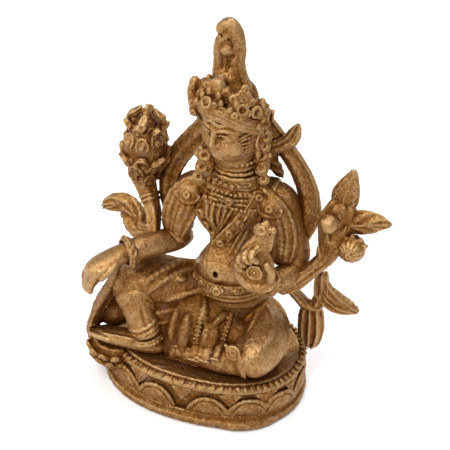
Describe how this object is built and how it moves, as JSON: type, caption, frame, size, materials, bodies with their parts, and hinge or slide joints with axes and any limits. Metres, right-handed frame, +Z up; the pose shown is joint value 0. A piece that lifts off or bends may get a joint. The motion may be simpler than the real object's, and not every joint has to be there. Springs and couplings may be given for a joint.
{
  "type": "seated goddess statuette",
  "caption": "Small cast brass goddess seated on a lotus throne, one foot lowered onto a small lotus, lotus stems and scarves rising beside both shoulders.",
  "frame": {"origin": "centre of the plinth's flat underside, on the surface that the statue stands on", "axes": "+Z up, the figure faces -Y, its left hand and the left lotus are on +X"},
  "size_m": [0.0729, 0.041, 0.1],
  "materials": {
    "smooth_brass": "rubbed, semi-gloss",
    "cast_brass": "grainy casting with brown patina in the recesses",
    "dark_brass": "grainy casting, heavy brown patina",
    "plate_brass": "dull sheet"
  },
  "bodies": {
    "root": {"base_plate": "plate_brass", "plinth": "cast_brass", "lotus_drum": "dark_brass", "lower_petals": "cast_brass", "upper_petals": "cast_brass", "seat_rim": "cast_brass", "rim_beads": "cast_brass", "seat_slab": "cast_brass", "foot_lotus": "cast_brass", "hips": "dark_brass", "belly": "smooth_brass", "chest": "cast_brass", "neck": "smooth_brass", "head": "smooth_brass", "hair": "dark_brass", "topknot": "cast_brass", "belt": "cast_brass", "belt_clasp": "smooth_brass", "necklace_collar": "cast_brass", "long_necklace": "cast_brass", "chest_sash": "cast_brass", "right_arm": "smooth_brass", "right_forearm": "smooth_brass", "right_hand": "smooth_brass", "left_arm": "cast_brass", "left_forearm": "smooth_brass", "left_hand": "smooth_brass", "palm_disc": "smooth_brass", "bangles": "cast_brass", "right_thigh": "cast_brass", "knee_drape": "dark_brass", "right_shin": "smooth_brass", "right_foot": "smooth_brass", "left_thigh": "smooth_brass", "left_shin": "cast_brass", "left_foot": "smooth_brass", "skirt_folds": "dark_brass", "thigh_drape": "dark_brass", "shoulder_drapes": "cast_brass", "hem_disc": "smooth_brass", "crown_band": "cast_brass", "crown_leaves": "cast_brass", "crown_rosettes": "cast_brass", "earrings": "cast_brass", "crown_ribbons": "cast_brass", "hair_locks": "dark_brass", "right_scarf": "cast_brass", "left_scarf": "cast_brass", "flying_scarf_end": "cast_brass", "hanging_scarf_end": "cast_brass", "right_lotus_stem": "cast_brass", "right_lotus_leaf": "cast_brass", "right_lotus_cup": "dark_brass", "right_lotus_petals": "cast_brass", "right_lotus_tip": "smooth_brass", "left_lotus_stem": "cast_brass", "left_lotus_top_leaf": "cast_brass", "left_lotus_side_leaf": "cast_brass", "left_lotus_ball": "smooth_brass", "left_lotus_bud": "smooth_brass"}
  },
  "joints": []
}
